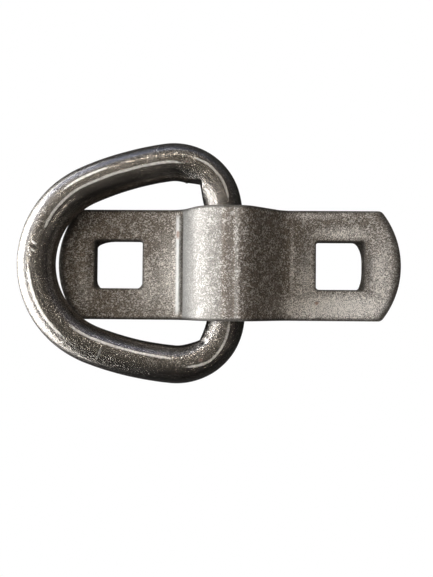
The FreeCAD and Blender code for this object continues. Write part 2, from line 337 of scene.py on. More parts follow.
def edge_paint_group():
    """A ragged mask along marked edges, for painted shade on the bar and painted highlights on the ring."""
    tree, inside, outside = new_tree(
        "Painted edge light and shade", "ShaderNodeTree",
        [("Vector", VECTOR, None), ("Edge", NUMBER, 0.0),
         ("Breaks per metre", NUMBER, 700.0), ("Raggedness", NUMBER, 0.5)],
        [("Mask", NUMBER)])
    vector, edge, breaks, ragged = inside.outputs[:4]
    torn = times(tree, maths(tree, "SUBTRACT", noise(tree, vector, breaks, 4.0, 0.65), 0.5), ragged)
    mask = ranged(tree, plus(tree, edge, torn), 0.25, 0.75)
    tree.links.new(mask, outside.inputs[0])
    return tree


def rust_group():
    """Ragged spots of rust where a mesh value marks them."""
    tree, inside, outside = new_tree(
        "Rust spots", "ShaderNodeTree",
        [("Vector", VECTOR, None), ("Spots", NUMBER, 0.0),
         ("Breaks per metre", NUMBER, 1500.0), ("Raggedness", NUMBER, 0.6)],
        [("Mask", NUMBER)])
    vector, spots, breaks, ragged = inside.outputs[:4]
    torn = maths(tree, "SUBTRACT", noise(tree, vector, breaks, 4.0, 0.7), 0.5)
    torn = times(tree, torn, times(tree, ragged, ranged(tree, spots, 0.02, 0.3)))
    tree.links.new(ranged(tree, plus(tree, spots, torn), 0.3, 0.75), outside.inputs[0])
    return tree


def use_group(tree, group, **inputs):
    """Places a shader group in a material; the names of the inputs have _ for each space."""
    node = tree.nodes.new("ShaderNodeGroup")
    node.node_tree = group
    for name, value in inputs.items():
        feed(tree, node.inputs[name.replace("_", " ")], value)
    return node.outputs


def attribute(tree, name):
    """A number stored on the mesh."""
    return add_node(tree, "ShaderNodeAttribute", attribute_name=name).outputs["Fac"]


def new_material(name):
    """An empty node material, with its tree and its Principled shader."""
    material = bpy.data.materials.new(name)
    material.use_nodes = True
    tree = material.node_tree
    return material, tree, tree.nodes["Principled BSDF"]


def bar_steel(colour, groups):
    """Bare rolled bar: brown-grey and grainy, rubbed and painted light in places, with painted shade on its
    edges.
    """
    material, tree, shader = new_material("bar_steel")
    place = add_node(tree, "ShaderNodeTexCoord").outputs["Object"]
    mottle = use_group(tree, groups["mottle"], Vector=place, Patches_per_metre=260.0, Contrast=1.8)[0]
    specks = use_group(tree, groups["sparkle"], Vector=place, Specks_per_metre=2900.0, Share=0.32)
    edge = use_group(
        tree, groups["edge_paint"], Vector=place, Edge=attribute(tree, "edge"), Breaks_per_metre=600.0,
        Raggedness=0.45)[0]
    rust = use_group(
        tree, groups["rust"], Vector=place, Spots=attribute(tree, "rust"), Breaks_per_metre=1800.0,
        Raggedness=0.9)[0]
    grain = ranged(tree, noise(tree, place, 3300.0, 2.0, 0.7), 0.41, 0.58)
    rub_and_painted_light = attribute(tree, "rub_and_painted_light")
    dark = tint(colour, 0.20, 0.18, 0.165)
    bright = tint(colour, 2.38, 2.45, 2.52)
    skin = mixed(tree, mottle, tint(colour, 0.70, 0.63, 0.57), tint(colour, 1.02, 0.97, 0.92))
    skin = mixed(tree, grain, dark, skin)
    # Rubbed places are laid paler, partly rubbed steel and partly painted light.
    skin = laid(tree, skin, specks[0], maths(tree, "MULTIPLY_ADD", rub_and_painted_light, 0.45, 0.55), bright)
    skin = laid(tree, skin, rub_and_painted_light, maths(tree, "MULTIPLY_ADD", grain, 0.8, 0.12), bright)
    # Painted light on the saddle's lit slope, and painted shade where the value is below zero.
    painted_light_and_shade = attribute(tree, "painted_light_and_shade")
    pale = mixed(tree, grain, (0.34, 0.34, 0.33), (0.49, 0.49, 0.48))
    skin = laid(tree, skin, painted_light_and_shade, 0.8, pale, clamp=True)
    skin = laid(tree, skin, painted_light_and_shade, -0.9, dark, clamp=True)
    # Stains, and painted shade beside the holes.
    skin = laid(tree, skin, attribute(tree, "stain_and_painted_shade"), 0.85, tint(colour, 0.15))
    # Painted shade in the groove beside the pressed ridge.
    broken = maths(tree, "MULTIPLY_ADD", grain, -0.55, 1.1)
    skin = laid(tree, skin, attribute(tree, "groove"), broken, tint(colour, 0.06))
    # Painted shade on the rounded edges, round the holes, on the walls and underneath.
    skin = laid(tree, skin, edge, 0.8, tint(colour, 0.22))
    # The pressed ridge: rubbed steel with a painted highlight.
    skin = laid(tree, skin, attribute(tree, "burnish_and_painted_highlight"), 0.95, (0.9, 0.9, 0.88))
    skin = laid(tree, skin, rust, 0.75, (0.34, 0.17, 0.10))
    tree.links.new(skin, shader.inputs["Base Color"])
    rough = ranged(tree, mottle, 0.0, 1.0, 0.60, 0.46, "LINEAR")
    rough = maths(tree, "SUBTRACT", rough, times(tree, specks[0], 0.10))
    tree.links.new(rough, shader.inputs["Roughness"])
    metal = maths(tree, "SUBTRACT", 0.82, times(tree, rust, 0.6))
    tree.links.new(metal, shader.inputs["Metallic"])
    height = plus(tree, grain, times(tree, specks[1], 0.6))
    bump = add_node(tree, "ShaderNodeBump", {"Strength": 0.9, "Distance": 0.00016, "Height": height})
    tree.links.new(bump.outputs[0], shader.inputs["Normal"])
    return material


def forged_steel(colour, groups):
    """Forged ring skin: dark and glossy with streaks along the bar, dull and scuffed in patches.

    Its ridges carry painted highlight lines, and patches carry painted shade and painted bluish reflections.
    """
    material, tree, shader = new_material("forged_steel")
    place = add_node(tree, "ShaderNodeTexCoord").outputs["Object"]
    mottle = use_group(tree, groups["mottle"], Vector=place, Patches_per_metre=120.0, Contrast=1.8)[0]
    specks = use_group(tree, groups["sparkle"], Vector=place, Specks_per_metre=3200.0, Share=0.18)
    edge = use_group(
        tree, groups["edge_paint"], Vector=place, Edge=attribute(tree, "edge"), Breaks_per_metre=900.0,
        Raggedness=0.7)[0]
    rust = use_group(
        tree, groups["rust"], Vector=place, Spots=attribute(tree, "rust"), Breaks_per_metre=1500.0,
        Raggedness=0.6)[0]
    dull, scuff, shade = (attribute(tree, name) for name in ("dull", "scuff", "shade"))
    around = add_node(tree, "ShaderNodeAttribute", attribute_name="streak").outputs["Vector"]
    streak = noise(tree, around, 1.0, 6.0, 0.68)
    grain = ranged(tree, noise(tree, place, 2100.0, 2.0, 0.7), 0.42, 0.58)
    bright = tint(colour, 2.8)
    skin = mixed(tree, mottle, tint(colour, 0.55, 0.515, 0.48), tint(colour, 1.15, 1.07, 0.98))
    skin = laid(tree, skin, grain, 0.7, tint(colour, 0.2))
    skin = mixed(tree, ranged(tree, streak, 0.5, 0.75, 0.0, 0.3), skin, bright)
    skin = laid(tree, skin, specks[0], 0.4, bright)
    skin = laid(tree, skin, scuff, ranged(tree, streak, 0.3, 0.6, 0.25, 0.85), bright)
    # Painted highlight lines on the ridges and on the lips of the nick.
    skin = laid(tree, skin, edge, maths(tree, "MULTIPLY_ADD", grain, -0.45, 0.9), (0.85, 0.82, 0.77))
    # Painted shade.
    skin = laid(tree, skin, shade, 0.85, tint(colour, 0.12))
    # Painted bluish reflection.
    skin = laid(tree, skin, attribute(tree, "painted_blue_reflection"), 0.6, (0.27, 0.28, 0.36))
    skin = laid(tree, skin, rust, 0.7, (0.10, 0.045, 0.022))
    tree.links.new(skin, shader.inputs["Base Color"])
    rough = ranged(tree, mottle, 0.0, 1.0, 0.24, 0.15, "LINEAR")
    rough = plus(tree, rough, times(tree, maths(tree, "MAXIMUM", dull, scuff), 0.24))
    rough = plus(tree, rough, times(tree, rust, 0.35))
    tree.links.new(rough, shader.inputs["Roughness"])
    metal = maths(tree, "SUBTRACT", 1.0, times(tree, maths(tree, "MAXIMUM", rust, edge), 0.6))
    tree.links.new(metal, shader.inputs["Metallic"])
    height = plus(tree, times(tree, grain, 0.8), streak)
    bump = add_node(tree, "ShaderNodeBump", {"Strength": 0.45, "Distance": 0.0001, "Height": height})
    tree.links.new(bump.outputs[0], shader.inputs["Normal"])
    return material


def shared_groups():
    """The shader groups, built once."""
    made = {
        "mottle": ("Steel mottle", mottle_group), "sparkle": ("Bright specks", sparkle_group),
        "edge_paint": ("Painted edge light and shade", edge_paint_group), "rust": ("Rust spots", rust_group),
    }
    return {key: bpy.data.node_groups.get(name) or build() for key, (name, build) in made.items()}


# ---------------------------------------------------------------- bracket


def bend_line():
    """Corners and bend radii of the line half way through the bent bar, in mm, as (x, z, radius)."""
    return ((-59.3, 3.0, 0), (-15.35, 3.0, 10), (-7.25, 17.3, 8), (5.145, 17.3, 6), (17.745, 3.0, 9),
            (59.3, 3.0, 0))


def line_length(corners):
    """Length of that line, with each corner cut by its bend."""
    points = np.array([c[:2] for c in corners], float)
    runs = np.diff(points, axis=0)
    total = np.hypot(*runs.T).sum()
    headings = np.arctan2(runs[:, 1], runs[:, 0])
    for corner, turn in zip(corners[1:-1], np.abs(np.diff(headings))):
        total -= corner[2] * (2 * math.tan(turn / 2) - turn)
    return total


def grid_lines(kept, step):
    """The kept lines, with even ones between them no more than a step apart."""
    kept = sorted(set(np.round(kept, 6)))
    lines = [kept[0]]
    for low, high in zip(kept, kept[1:]):
        parts = max(1, math.ceil((high - low) / step))
        lines += [low + (high - low) * k / parts for k in range(1, parts + 1)]
    return np.array(lines)


# Rubbed places, also painted light, and rusted places on the top face, in mm from the middle of the bar
# before it was raised: x, y, their spread along x and y, strength.
RUBBED_AND_PAINTED_LIGHT = (
    (-20.0, -4.0, 4.4, 14.0, 1.0), (-27.0, -8.0, 5.0, 8.0, 0.6), (-50.0, -9.0, 2.6, 6.0, 0.5),
    (38.0, -14.0, 17.0, 3.8, 2.4), (52.0, -4.0, 4.0, 12.0, 1.1), (39.0, 10.8, 9.0, 2.2, 1.3),
    (21.6, -2.0, 0.8, 13.0, 1.0), (27.0, -5.0, 3.6, 10.0, 1.1), (30.0, 17.0, 9.0, 1.0, 0.7),
)
RUSTED = ((30.2, -12.9, 0.9, 0.7, 1.0), (-15.8, 10.3, 1.3, 2.0, 0.85), (27.0, 14.0, 1.0, 0.8, 0.35))

# Where the press has rubbed a ridge beside the steep foot, in mm from the ring's end of the flat bar, how
# high the ridge stands, how deep the groove beside it is, and the lines of the mesh that they need.
# The ridge's steel is laid near white, a painted highlight on rubbed steel, and the groove dark, painted shade.
SEAT = 43.4
SEAT_RISE, GROOVE_DEPTH = 0.32, 0.25
SEAT_LINES = (-1.4, -1.1, -0.8, -0.4, 0.0, 0.4, 0.8, 1.1, 1.4, 1.8, 2.2, 2.6, 3.0, 3.4, 3.8)

# Painted light (or, below zero, painted shade) along the saddle: mm from that end, and strength.
SADDLE_PAINTED_LIGHT_AND_SHADE = (
    (46.2, 0.0), (47.0, 1.1), (49.0, 1.0), (52.0, 0.8), (57.0, 0.6), (60.3, 0.5), (62.8, 0.4), (65.0, -0.5),
    (66.8, -0.6), (67.8, 0.5), (68.8, 0.0),
)
# Dark stains on the top face, and painted shade in the dish beside each hole, given like the rubbed places.
STAINS_AND_PAINTED_SHADE = (
    (-19.0, 11.4, 1.0, 0.35, 0.9), (-19.3, 9.4, 0.3, 2.2, 0.7), (-19.3, -4.0, 0.3, 11.0, 0.45),
    (-36.6, 10.6, 0.5, 0.6, 0.6), (-35.0, 10.9, 0.5, 0.4, 0.6), (-33.4, 10.7, 0.6, 0.4, 0.5),
    (48.0, -1.0, 1.1, 7.0, 0.75), (-48.4, 0.0, 1.2, 8.0, 0.5), (26.0, 3.0, 3.0, 9.0, 0.35),
)

# How far in each upper or lower edge is rounded and how far it drops, and how the face is drawn down
# round a hole, in mm.
END_ROUND, SIDE_ROUND, RIM_ROUND, LOWER_ROUND = (2.4, 1.15), (1.2, 0.95), (0.45, 0.4), (0.45, 0.35)
DRAWN_DOWN = (2.3, 0.42)

# How the punch tore the corners of each hole below the top face: the hole's side of the bar, the
# corner's signs along x and y, and how far the torn web reaches along each, in mm.
TORN = (
    (-1, -1, 1, 7.0, 2.4), (-1, -1, -1, 1.8, 3.0), (-1, 1, 1, 1.6, 1.8), (-1, 1, -1, 2.4, 4.8),
    (1, 1, 1, 3.3, 7.0), (1, 1, -1, 1.9, 6.5), (1, -1, 1, 1.4, 1.6), (1, -1, -1, 1.8, 2.2),
)


def spots(x, y, places):
    """Soft round or oval spots, each at full strength in its middle, with the strongest kept."""
    best = np.zeros(x.shape)
    for px, py, wide, high, strength in places:
        best = np.maximum(best, strength * np.exp(-(((x - px) / wide) ** 2) - ((y - py) / high) ** 2))
    return best


def tear(points, depth, centres, half_hole):
    """Moves the lower part of the holes' walls, and the underside round them, out to the torn webs."""
    points = points.copy()
    for side, su, sv, reach_u, reach_v in TORN:
        centre = centres[0] if side < 0 else centres[1]
        du = half_hole - su * (points[:, 0] - centre)
        dv = half_hole - sv * points[:, 1]
        outside = np.maximum(np.maximum(-du, -dv), 0)
        fade = np.exp(-((outside / 1.2) ** 2)) * smooth((depth - 0.3) / 0.6)
        du, dv = np.maximum(du, 0), np.maximum(dv, 0)
        along = np.maximum(du / reach_u, dv / reach_v)
        on_u = du / reach_u > dv / reach_v
        turn = (1 - along) * math.pi / 4
        far, close = 1 - np.sin(turn), 1 - np.cos(turn)
        cut_u = reach_u * np.where(on_u, far, close)
        cut_v = reach_v * np.where(on_u, close, far)
        near = (along < 1) & (outside < 3)
        points[:, 0] -= np.where(near, su * (cut_u - du) * fade, 0)
        points[:, 1] -= np.where(near, sv * (cut_v - dv) * fade, 0)
    return points


def blank(sizes, length):
    """The flat blank before it is bent: x along its middle line from one end, y across, z up from its middle.

    Returns its points in mm, its faces, and its marks: the numbers that the steel reads at each point.
    """
    half_width, half_thick, half_length = (v / MM / 2 for v in (sizes.width, sizes.thickness, sizes.length))
    end_radius, half_hole = sizes.end_radius / MM, sizes.hole_side / MM / 2
    corner = sizes.hole_corner / MM
    from_end = (sizes.length - sizes.hole_spacing) / MM / 2
    centres = (from_end, length - from_end)
    kept_x = list(EDGE_LINES) + [length - e for e in EDGE_LINES]
    kept_y = [side * (half_width - e) for e in EDGE_LINES for side in (-1, 1)]
    around = [half_hole + r for r in RIM_LINES] + [half_hole - c for c in CORNER_LINES]
    kept_x += [c + side * a for c in centres for a in around for side in (-1, 1)]
    kept_x += [SEAT + line for line in SEAT_LINES]
    kept_y += [side * a for a in around for side in (-1, 1)]
    xs, ys = (grid_lines(kept, sizes.grid_step / MM) for kept in (kept_x, kept_y))
    x, y = np.meshgrid(xs, ys, indexing="ij")

    # The ends: the last lines lean over to follow the sheared arc.
    sag = end_radius - np.sqrt(end_radius**2 - y**2)
    reach = 10 + 8 * smooth((np.abs(y) - half_hole - RIM_LINES[-1]) / 8)
    lean = sag * (1 - smooth(x / reach)) - sag * (1 - smooth((length - x) / reach))
    from_left = x < length / 2
    x = x + lean
    edge_x = np.where(from_left, x, length - x)

    # Square shells of lines round each hole become rounded squares.
    for centre in centres:
        u, v = x - centre, y
        shell = np.maximum(np.abs(u), np.abs(v))
        out = shell - half_hole
        near = (out > -1e-6) & (out < 3)
        radius = np.where(near, (corner + out) * (1 - smooth(out / 3)), 0)
        along = np.minimum(np.abs(u), np.abs(v))
        turned = near & (along > shell - radius) & (radius > 1e-6)
        safe = np.where(turned, radius, 1)
        angle = (along - (shell - radius)) / safe * math.pi / 4
        major = shell - radius + radius * np.cos(angle)
        minor = shell - radius + radius * np.sin(angle)
        wide = np.abs(u) >= np.abs(v)
        new_u = np.sign(u) * np.where(wide, major, minor)
        new_v = np.sign(v) * np.where(wide, minor, major)
        x, y = np.where(turned, centre + new_u, x), np.where(turned, new_v, y)

    # How far each point is from the nearest end, side and hole.
    to_end = np.where(edge_x < end_radius, end_radius - np.hypot(edge_x - end_radius, y), 99)
    to_end, to_side = np.maximum(to_end, 0), np.maximum(half_width - np.abs(y), 0)
    to_hole = np.full(x.shape, 99.0)
    for centre in centres:
        qx, qy = np.abs(x - centre) - (half_hole - corner), np.abs(y) - (half_hole - corner)
        apart = np.hypot(np.maximum(qx, 0), np.maximum(qy, 0)) + np.minimum(np.maximum(qx, qy), 0)
        to_hole = np.minimum(to_hole, np.maximum(apart - corner, 0))

    # The tips where the arc meets the sides are rounded a little.
    tip = np.hypot(edge_x - (end_radius - math.sqrt(end_radius**2 - half_width**2)), to_side)
    pull = 0.22 * np.clip(1 - tip / 1.3, 0, 1) ** 2
    x = x + np.where(from_left, 1, -1) * 0.43 * pull
    y = y - np.sign(y) * 0.9 * pull

    fall = np.hypot(quarter_round(to_end, *END_ROUND), quarter_round(to_side, *SIDE_ROUND))
    dish = DRAWN_DOWN[1] * np.clip(1 - to_hole / DRAWN_DOWN[0], 0, 1) ** 2 + quarter_round(to_hole, *RIM_ROUND)
    within = 1 - smooth((np.abs(y) - 15.5) / 2.5)
    groove = np.exp(-(((x - SEAT - 2.3) / 1.2) ** 4)) * within
    press = np.exp(-(((x - SEAT) / 1.15) ** 4)) * within
    ledge = np.interp(x, (SEAT - 1.2, SEAT + 0.9, SEAT + 1.3), (0, SEAT_RISE, 0)) * within
    top = half_thick - fall - dish - GROOVE_DEPTH * groove + ledge
    bottom = -half_thick + quarter_round(np.minimum(np.minimum(to_end, to_side), to_hole), *LOWER_ROUND)

    # Where painted shade goes: rounded edges and hole rims here, and all walls and the underside below.
    edge = np.maximum(np.clip(1 - to_end / 4.2, 0, 1), np.clip(1 - to_side / 1.9, 0, 1))
    edge = np.maximum(edge, 0.9 * np.clip(1 - to_hole / 1.3, 0, 1))
    on_foot = np.where(from_left, x - half_length, x - length + half_length)
    above = {
        "edge": edge, "burnish_and_painted_highlight": press, "groove": groove, "painted_light_and_shade": np.interp(x, *zip(*SADDLE_PAINTED_LIGHT_AND_SHADE)),
        "rub_and_painted_light": spots(on_foot, y, RUBBED_AND_PAINTED_LIGHT), "stain_and_painted_shade": spots(on_foot, y, STAINS_AND_PAINTED_SHADE),
        "rust": spots(on_foot, y, RUSTED),
    }

    nx, ny = len(xs), len(ys)
    index = np.arange(nx * ny).reshape(nx, ny)
    points = [np.stack([x, y, top], -1).reshape(-1, 3), np.stack([x, y, bottom], -1).reshape(-1, 3)]
    below = dict.fromkeys(above, 0.0) | {"edge": 0.75}
    marks = {name: [values.ravel(), np.full(nx * ny, below[name])] for name, values in above.items()}
    middle_x, middle_y = (xs[:-1] + xs[1:]) / 2, (ys[:-1] + ys[1:]) / 2
    solid = np.ones((nx - 1, ny - 1), bool)
    loops = [[(i, 0) for i in range(nx)] + [(nx - 1, j) for j in range(1, ny)]
             + [(i, ny - 1) for i in range(nx - 2, -1, -1)] + [(0, j) for j in range(ny - 2, 0, -1)]]
    for centre in centres:
        in_x, in_y = np.abs(middle_x - centre) < half_hole, np.abs(middle_y) < half_hole
        solid &= ~(in_x[:, None] & in_y[None, :])
        i0, j0 = np.argmax(in_x), np.argmax(in_y)
        i1, j1 = i0 + in_x.sum(), j0 + in_y.sum()
        loops.append([(i, j0) for i in range(i0, i1 + 1)] + [(i1, j) for j in range(j0 + 1, j1 + 1)]
                     + [(i, j1) for i in range(i1 - 1, i0 - 1, -1)] + [(i0, j) for j in range(j1 - 1, j0, -1)])
    quads = []
    for layer, flip in ((0, False), (nx * ny, True)):
        a, b = index[:-1, :-1][solid] + layer, index[1:, :-1][solid] + layer
        c, d = index[1:, 1:][solid] + layer, index[:-1, 1:][solid] + layer
        quads.append(np.stack([d, c, b, a] if flip else [a, b, c, d], -1))
    count = 2 * nx * ny
    for loop in loops:
        ring = np.array([index[i, j] for i, j in loop])
        upper, lower = points[0][ring], points[1][ring]
        rows = [ring]
        for level in range(1, WALL_LEVELS):
            share = level / WALL_LEVELS
            wall = upper * (1 - share) + lower * share
            points.append(tear(wall, np.full(len(ring), share), centres, half_hole))
            for name, values in marks.items():
                values.append(np.full(len(ring), below[name]))
            rows.append(np.arange(count, count + len(ring)))
            count += len(ring)
        rows.append(ring + nx * ny)
        for one, two in zip(rows, rows[1:]):
            quads.append(np.stack([one, np.roll(one, -1), np.roll(two, -1), two], -1))
    points[1] = tear(points[1], np.ones(nx * ny), centres, half_hole)
    points, quads = np.concatenate(points), np.concatenate(quads)
    used, place = np.unique(quads, return_inverse=True)
    marks = {name: np.concatenate(values)[used] for name, values in marks.items()}
    return points[used], place.reshape(quads.shape), marks


def saddle_tree():
    """Geometry Nodes that press a flat blank along a bend line and give its faces waves and dents."""
    tree, inside, outside = new_tree(
        "Press the saddle", "GeometryNodeTree",
        [("Blank", "NodeSocketGeometry", None), ("Bend line", "NodeSocketObject", None),
         ("Waviness", NUMBER, 0.0), ("Dents", NUMBER, 0.0), ("Steel", "NodeSocketMaterial", None)],
        [("Bracket", "NodeSocketGeometry")])
    blank_in, line, waviness, dents, steel = inside.outputs[:5]
    curve = add_node(tree, "GeometryNodeObjectInfo", {0: line}).outputs["Geometry"]
    radius = tree.nodes.new("GeometryNodeInputRadius").outputs[0]
    bent = tree.nodes.new("GeometryNodeFilletCurve")
    bent.mode = "POLY"
    bent.inputs["Count"].default_value = 24
    tree.links.new(curve, bent.inputs["Curve"])
    tree.links.new(radius, bent.inputs["Radius"])
    position = tree.nodes.new("GeometryNodeInputPosition").outputs[0]
    parts = add_node(tree, "ShaderNodeSeparateXYZ", {0: position}).outputs
    sample = tree.nodes.new("GeometryNodeSampleCurve")
    sample.mode = "LENGTH"
    tree.links.new(bent.outputs[0], sample.inputs["Curves"])
    tree.links.new(parts[0], sample.inputs["Length"])
    tangent = add_node(tree, "ShaderNodeSeparateXYZ", {0: sample.outputs["Tangent"]}).outputs
    up = add_node(tree, "ShaderNodeCombineXYZ", {0: times(tree, tangent[2], -1.0), 2: tangent[0]})
    across = add_node(tree, "ShaderNodeCombineXYZ", {1: parts[1]}).outputs[0]
    raised = vector_sum(tree, sample.outputs["Position"], scaled(tree, up.outputs[0], parts[2]))
    placed = add_node(tree, "GeometryNodeSetPosition", {
        "Geometry": blank_in, "Position": vector_sum(tree, raised, across)})
    where = tree.nodes.new("GeometryNodeInputPosition").outputs[0]
    waves = times(tree, maths(tree, "SUBTRACT", noise(tree, where, 110.0, 2.0), 0.5), waviness)
    pits = times(tree, maths(tree, "SUBTRACT", noise(tree, where, 420.0, 3.0), 0.5), dents)
    normal = tree.nodes.new("GeometryNodeInputNormal").outputs[0]
    worn = add_node(tree, "GeometryNodeSetPosition", {
        "Geometry": placed.outputs[0], "Offset": scaled(tree, normal, plus(tree, waves, pits))})
    finish_tree(tree, worn, steel, outside)
    return tree


class BuildBracket(bpy.types.Operator):
    """Makes the bent bar with its square holes, in the place of the bracket's CAD node"""

    bl_idname = "lashing.bracket"
    bl_label = "Build the bracket"

    def execute(self, context):
        sizes = context.scene.lashing_bracket
        corners = bend_line()
        points, quads, marks = blank(sizes, line_length(corners))
        mesh = bpy.data.meshes.new("blank")
        mesh.from_pydata((points * MM).tolist(), [], quads.tolist())
        mesh.update()
        if mesh.validate():
            raise RuntimeError("the blank has bad faces")
        store(mesh, marks)
        carrier = add_object("blank", mesh)
        line = poly_curve(
            "bend_line", [(x * MM, 0, z * MM) for x, z, _ in corners], [r * MM for _, _, r in corners])
        steel = bar_steel(sizes.colour, shared_groups())
        piece = plain_mesh(carrier, saddle_tree(), {
            "Bend line": line, "Waviness": sizes.waviness, "Dents": sizes.dents, "Steel": steel,
        }, "bar_bracket")
        bpy.data.objects.remove(line)
        points_outwards(piece.data)
        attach(piece, "bracket")
        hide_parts("bracket")
        return {"FINISHED"}


# ---------------------------------------------------------------- ring

# Half of the ring, from the end of the straight leg to the far end: each arc's radius in mm, and how far
# the bar has turned by the arc's end, in degrees.
RING_ARCS = ((38.0, 11.13), (16.5, 96.87), (100.0, 113.3), (29.5, 180.0))
LEG_PARTS, ARC_STEP = 12, 0.4


def ring_outline(half_leg):
    """Middle line of the ring's bar, in mm, flat, leg along Y at x = 0 and the far end at -X."""
    half = [(0.0, half_leg * k / LEG_PARTS) for k in range(LEG_PARTS + 1)]
    start, point = 0.0, np.array([0.0, half_leg])
    for radius, turned in RING_ARCS:
        end = math.radians(turned)
        centre = point - radius * np.array([math.cos(start), math.sin(start)])
        parts = math.ceil(radius * (end - start) / ARC_STEP)
        for k in range(1, parts + 1):
            angle = start + (end - start) * k / parts
            half.append(tuple(centre + radius * np.array([math.cos(angle), math.sin(angle)])))
        start, point = end, np.array(half[-1])
    half[-1] = (half[-1][0], 0.0)
    return half + [(px, -py) for px, py in half[-2:0:-1]]


def ring_tree():
    """Geometry Nodes that sweep the ring's round bar along its middle line, in slow forging waves."""
    tree, inside, outside = new_tree(
        "Forge the ring", "GeometryNodeTree",
        [("Middle line", "NodeSocketGeometry", None), ("Bar", NUMBER, 0.0129),
         ("Step", NUMBER, 0.0004), ("Sides", "NodeSocketInt", 96),
         ("Waves", NUMBER, 0.0002), ("Steel", "NodeSocketMaterial", None)],
        [("Ring", "NodeSocketGeometry")])
    line, bar, step, sides, waves, steel = inside.outputs[:6]
    even = tree.nodes.new("GeometryNodeResampleCurve")
    even.mode = "LENGTH"
    tree.links.new(line, even.inputs["Curve"])
    tree.links.new(step, even.inputs["Length"])
    level = add_node(tree, "GeometryNodeSetCurveNormal", {"Curve": even.outputs[0]}, mode="Z_UP")
    run = tree.nodes.new("GeometryNodeSplineParameter")
    marked = add_node(tree, "GeometryNodeStoreNamedAttribute", {
        "Geometry": level.outputs[0], "Name": "run", "Value": run.outputs["Length"]}, data_type="FLOAT")
    circle = tree.nodes.new("GeometryNodeCurvePrimitiveCircle")
    tree.links.new(sides, circle.inputs["Resolution"])
    tree.links.new(times(tree, bar, 0.5), circle.inputs["Radius"])
    swept = add_node(tree, "GeometryNodeCurveToMesh", {
        "Curve": marked.outputs[0], "Profile Curve": circle.outputs[0]})
    where = tree.nodes.new("GeometryNodeInputPosition").outputs[0]
    wave = times(tree, maths(tree, "SUBTRACT", noise(tree, where, 55.0, 2.0), 0.5), waves)
    normal = tree.nodes.new("GeometryNodeInputNormal").outputs[0]
    forged = add_node(tree, "GeometryNodeSetPosition", {
        "Geometry": swept.outputs[0], "Offset": scaled(tree, normal, wave)})
    finish_tree(tree, forged, steel, outside)
    return tree


# Marks on the ring. Each has its place along the bar in mm from the middle of the leg, and its lean in
# degrees from straight up, towards the inside of the ring. A ridge is a chain of such places, with its
# height in mm, its spread in degrees and the run in mm over which its ends fade.
RIDGE_HEIGHT, RIDGE_SPREAD, RIDGE_FADE = 0.08, 4.5, 8
# Each ridge's crest is also laid near white: a painted highlight line.
RIDGES = (
    ((37, 14.5), (48.5, 8), (64.6, 7), (80.8, 8.5), (100.2, 13.5)),
    ((105.8, -12), (122.8, -13), (139, -15.5)),
    ((130, 24), (161.6, 23), (176, 20)),
    ((62, -18), (74, -17), (86, -14)),
    ((16, -12), (26, -18), (33, -18), (42, -10)),
    ((172, -3), (178, -8), (184, -17), (191, -12), (203, -4)),
)
# Middle of the mark along the bar and in lean, its spread in both, strength. A dent's strength is its
# depth in mm, and below zero it is a bump.
DULL = ((158, -35, 16, 24, 0.3), (6, 42, 17, 18, 0.9), (212, 42, 17, 18, 0.9))
SCUFFED = ((10, 22, 17, 20, 0.4), (208, 22, 17, 18, 0.3), (147.5, -12, 0.35, 24, 0.5))
RUST_ON_RING = ((39.6, 4, 0.9, 6, 0.8), (181.7, 0, 0.9, 6, 1.0), (63, -7, 0.6, 4, 0.8))
# Painted shade: dark patches where shade and dark reflections fall, in the corner dents and over the legs.
SHADED = (
    (31.0, 45, 1.3, 8, 1.0), (186.5, 43, 1.5, 9, 1.0), (160, -54, 32, 15, 0.9), (20, -66, 14, 12, 0.4),
    (66, 42, 30, 12, 0.6), (140, 4, 40, 9, 0.35), (155, 44, 28, 12, 0.4), (84, -46, 18, 20, 0.75),
    (106, -25.5, 34, 6.5, 1.0), (6, 44, 17, 14, 0.75), (212, 44, 17, 14, 0.75),
)
# Painted bluish reflections, laid as patches of colour.
PAINTED_BLUE_REFLECTION = ((152, 33, 24, 6, 1.0), (62, -36, 22, 7, 1.0))
DENTS = (
    (31.0, 45, 1.2, 9, 0.32), (186.5, 43, 1.4, 9, 0.3), (28.6, 40, 0.9, 12, -0.12), (189.2, 38, 0.9, 12, -0.12),
    (36.9, 86, 1.6, 13, -0.8),
)
# The nick across the far end: its place and lean, half its length in degrees, its depth, and the height of
# the metal it threw up on both sides.
NICK = (102.9, -2.0, 13.0, 0.30, 0.16)
# How sharply the bar is crimped inside each corner: the middle along the bar, half its length, depth, in mm.
CRIMPS = ((31.6, 11.0, 2.9), (185.8, 10.0, 1.3))
# How fine the streaks in the skin are round the bar, and along it for each mm.
STREAKS_ROUND, STREAKS_ALONG = 5, 0.03
# A place inside the ring, in metres, to tell its inner side from its outer side.
INSIDE_RING = (-0.03, 0.0)


